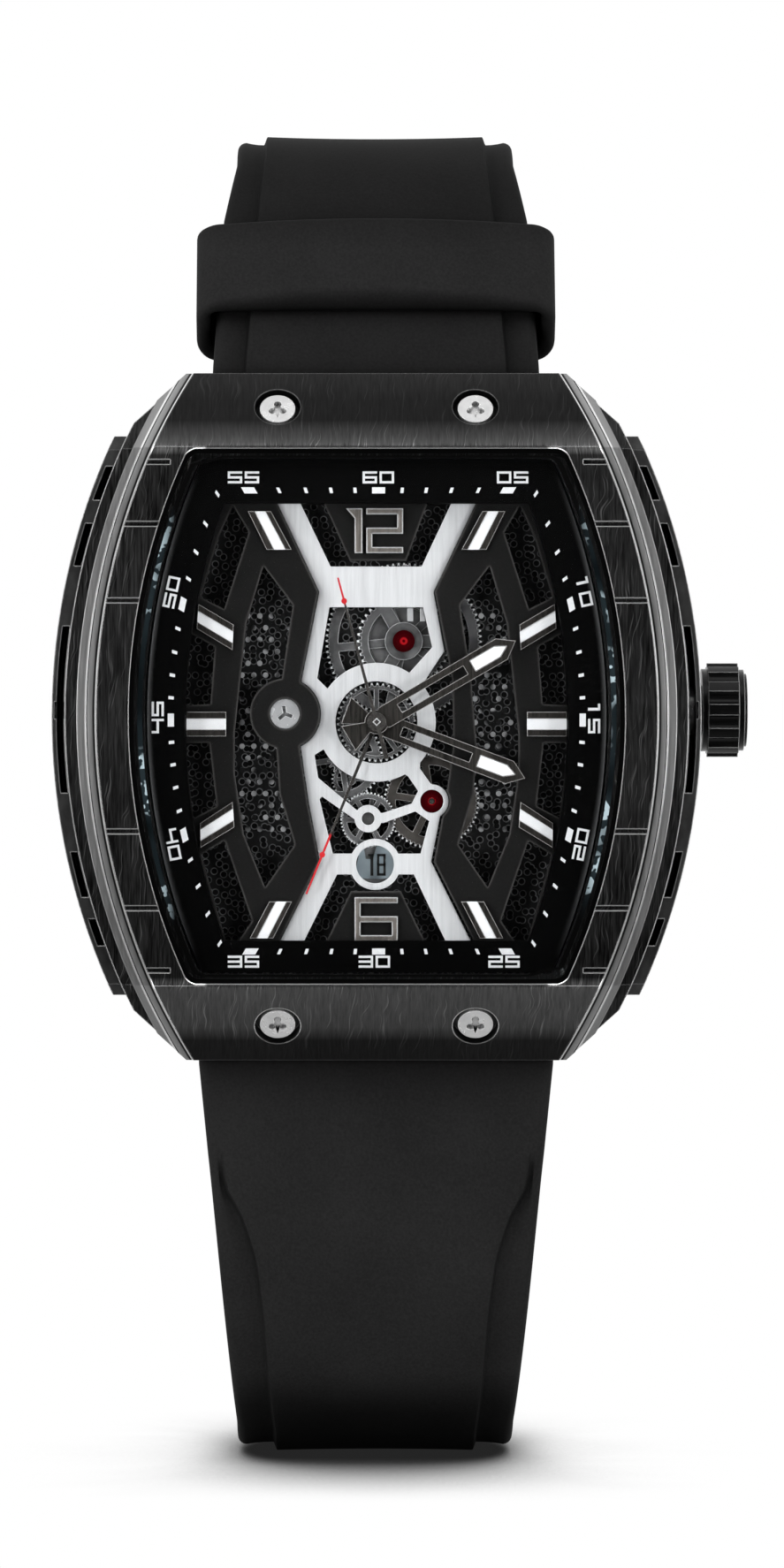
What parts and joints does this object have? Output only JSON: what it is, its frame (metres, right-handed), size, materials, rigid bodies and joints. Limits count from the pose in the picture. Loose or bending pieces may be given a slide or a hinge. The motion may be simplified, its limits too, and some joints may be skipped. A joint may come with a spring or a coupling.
{
  "type": "skeleton wristwatch",
  "caption": "Tonneau skeleton wristwatch with an open-worked dial over a moving gear train, black coated case, fluted crown and a charcoal rubber strap closed by a pin buckle.",
  "frame": {"origin": "centre of the case back's flat outer face, on the axis of the hands", "axes": "+Z to 12 o'clock, +X to 3 o'clock and the crown, and the dial faces -Y"},
  "size_m": [0.0494, 0.051, 0.0972],
  "materials": {
    "black_case": "black coated steel, brushed with polished bevels",
    "satin_grey": "satin grey steel",
    "polished_steel": "fine brushed steel",
    "crown_black": "gloss black coated steel",
    "crystal_glass": "clear sapphire crystal",
    "gasket": "black seal",
    "strap_rubber": "matte charcoal rubber",
    "bridge_silver": "light silver, brushed, with bright edges",
    "dark_plate": "charcoal, matte",
    "mesh_black": "black perforated sheet",
    "wheel_grey": "dark grey wheel with bright teeth",
    "wheel_bronze": "dull bronze wheel",
    "brass": "brass",
    "plate_steel": "grained movement plate",
    "hand_bronze": "warm grey, with light edges",
    "lume": "white",
    "ruby": "polished red",
    "date_disc": "pale blue grey",
    "flange_black": "matte black with white minute numbers"
  },
  "bodies": {
    "case": {"bezel": "black_case", "bezel_screws": "polished_steel", "crystal": "crystal_glass", "crystal_gasket": "gasket", "case_middle": "black_case", "side_rail_left": "black_case", "side_rail_right": "black_case", "crown_tube": "polished_steel", "case_back": "satin_grey", "back_glass": "crystal_glass", "back_gasket": "gasket", "back_screws": "polished_steel", "strap_screws": "polished_steel", "movement_ring": "dark_plate", "main_plate": "plate_steel", "train_bridge": "plate_steel", "balance_cock": "plate_steel", "jewels": "ruby", "chapter_ring": "flange_black", "dial_mesh": "mesh_black", "pin_plates": "mesh_black", "dial_pins": "polished_steel", "dial_frame": "dark_plate", "dial_screw": "polished_steel", "main_bridge": "bridge_silver", "numeral_plates": "dark_plate", "numerals": "hand_bronze", "hour_markers": "hand_bronze", "marker_lume": "lume", "barrel_click": "polished_steel", "strap_upper": "strap_rubber", "strap_lower": "strap_rubber", "buckle_bar": "polished_steel"},
    "minute": {"minute_hand": "hand_bronze", "minute_hand_lume": "lume", "centre_wheel": "wheel_grey"},
    "hour": {"hour_hand": "hand_bronze", "hour_hand_lume": "lume", "hour_wheel": "wheel_grey"},
    "seconds": {"seconds_hand": "hand_bronze", "seconds_wheel": "brass"},
    "day": {"day_hand": "hand_bronze"},
    "barrel": {"barrel": "wheel_grey"},
    "ratchet": {"ratchet_wheel": "wheel_grey", "ratchet_jewel": "ruby"},
    "minute_wheel": {"minute_wheel": "wheel_grey"},
    "third_wheel": {"third_wheel": "wheel_bronze"},
    "date_idler": {"date_idler": "wheel_grey"},
    "date_wheel": {"date_wheel": "wheel_grey"},
    "date_disc": {"date_disc": "date_disc"},
    "escape_wheel": {"escape_wheel": "brass"},
    "pallet_fork": {"pallet_fork": "polished_steel"},
    "balance_wheel": {"balance_wheel": "brass"},
    "rotor": {"rotor": "plate_steel"},
    "stem": {"winding_stem": "polished_steel"},
    "crown": {"crown": "crown_black"},
    "keeper": {"keeper": "strap_rubber"},
    "tail_keeper": {"tail_keeper": "strap_rubber"},
    "buckle_frame": {"buckle_frame": "satin_grey"},
    "buckle_tang": {"buckle_tang": "satin_grey"}
  },
  "joints": [
    {"name": "minute_spin", "type": "hinge", "parent": "case", "child": "minute", "pos_m": [0, -0.011, 0], "axis": [0, 1, 0], "continuous": true},
    {"name": "hour_spin", "type": "hinge", "parent": "case", "child": "hour", "pos_m": [0, -0.01, 0], "axis": [0, 1, 0], "continuous": true},
    {"name": "seconds_spin", "type": "hinge", "parent": "case", "child": "seconds", "pos_m": [0, -0.0115, 0], "axis": [0, 1, 0], "continuous": true},
    {"name": "day_spin", "type": "hinge", "parent": "case", "child": "day", "pos_m": [0, -0.0102, 0], "axis": [0, 1, 0], "continuous": true},
    {"name": "barrel_spin", "type": "hinge", "parent": "case", "child": "barrel", "pos_m": [0.00194, -0.007, 0.00575], "axis": [0, 1, 0], "continuous": true},
    {"name": "ratchet_wind", "type": "hinge", "parent": "case", "child": "ratchet", "pos_m": [0.00194, -0.0075, 0.00575], "axis": [0, 1, 0], "continuous": true},
    {"name": "minute_wheel_spin", "type": "hinge", "parent": "case", "child": "minute_wheel", "pos_m": [-0.0025, -0.0075, -0.00259], "axis": [0, 1, 0], "continuous": true},
    {"name": "third_spin", "type": "hinge", "parent": "case", "child": "third_wheel", "pos_m": [0.00392, -0.0075, -0.00558], "axis": [0, 1, 0], "continuous": true},
    {"name": "date_idler_spin", "type": "hinge", "parent": "case", "child": "date_idler", "pos_m": [-0.00186, -0.0072, -0.00403], "axis": [0, 1, 0], "continuous": true},
    {"name": "date_wheel_spin", "type": "hinge", "parent": "case", "child": "date_wheel", "pos_m": [-0.00059, -0.0075, -0.0069], "axis": [0, 1, 0], "continuous": true},
    {"name": "date_disc_spin", "type": "hinge", "parent": "case", "child": "date_disc", "pos_m": [0, -0.0061, 0], "axis": [0, 1, 0], "continuous": true},
    {"name": "escape_spin", "type": "hinge", "parent": "case", "child": "escape_wheel", "pos_m": [-0.0031, -0.0043, 0.00105], "axis": [0, 1, 0], "continuous": true},
    {"name": "pallet_rock", "type": "hinge", "parent": "case", "child": "pallet_fork", "pos_m": [-0.00592, -0.0043, 0.00002], "axis": [0, 1, 0], "range_deg": [-4, 4]},
    {"name": "balance_swing", "type": "hinge", "parent": "case", "child": "balance_wheel", "pos_m": [-0.0084, -0.0045, -0.0008], "axis": [0, 1, 0], "range_deg": [-150, 150]},
    {"name": "rotor_spin", "type": "hinge", "parent": "case", "child": "rotor", "pos_m": [0, -0.0022, 0], "axis": [0, 1, 0], "continuous": true},
    {"name": "crown_pull", "type": "slide", "parent": "case", "child": "stem", "axis": [1, 0, 0], "range_m": [0, 0.001]},
    {"name": "crown_spin", "type": "hinge", "parent": "stem", "child": "crown", "pos_m": [0.025, -0.0049, 0.0009], "axis": [1, 0, 0], "continuous": true},
    {"name": "keeper_slide", "type": "slide", "parent": "case", "child": "keeper", "axis": [0, 0.4226, 0.9063], "range_m": [0, 0.001]},
    {"name": "tail_keeper_slide", "type": "slide", "parent": "case", "child": "tail_keeper", "axis": [0, 0, 1], "range_m": [-0.0015, 0.008]},
    {"name": "buckle_swing", "type": "hinge", "parent": "case", "child": "buckle_frame", "pos_m": [0, 0.028, -0.003], "axis": [1, 0, 0], "range_deg": [0, 10]},
    {"name": "tang_lift", "type": "hinge", "parent": "buckle_frame", "child": "buckle_tang", "pos_m": [0, 0.028, -0.003], "axis": [1, 0, 0], "range_deg": [0, 8]}
  ],
  "couplings": [
    {"joint": "hour_spin", "follows": "minute_spin", "ratio": 0.083333},
    {"joint": "seconds_spin", "follows": "minute_spin", "ratio": 60},
    {"joint": "day_spin", "follows": "minute_spin", "ratio": 0.041667},
    {"joint": "barrel_spin", "follows": "minute_spin", "ratio": -0.11364},
    {"joint": "minute_wheel_spin", "follows": "minute_spin", "ratio": -0.25},
    {"joint": "third_spin", "follows": "minute_spin", "ratio": -8},
    {"joint": "date_idler_spin", "follows": "minute_spin", "ratio": 0.0625},
    {"joint": "date_wheel_spin", "follows": "minute_spin", "ratio": -0.041667},
    {"joint": "date_disc_spin", "follows": "minute_spin", "ratio": -0.0013441},
    {"joint": "escape_spin", "follows": "minute_spin", "ratio": -600}
  ]
}
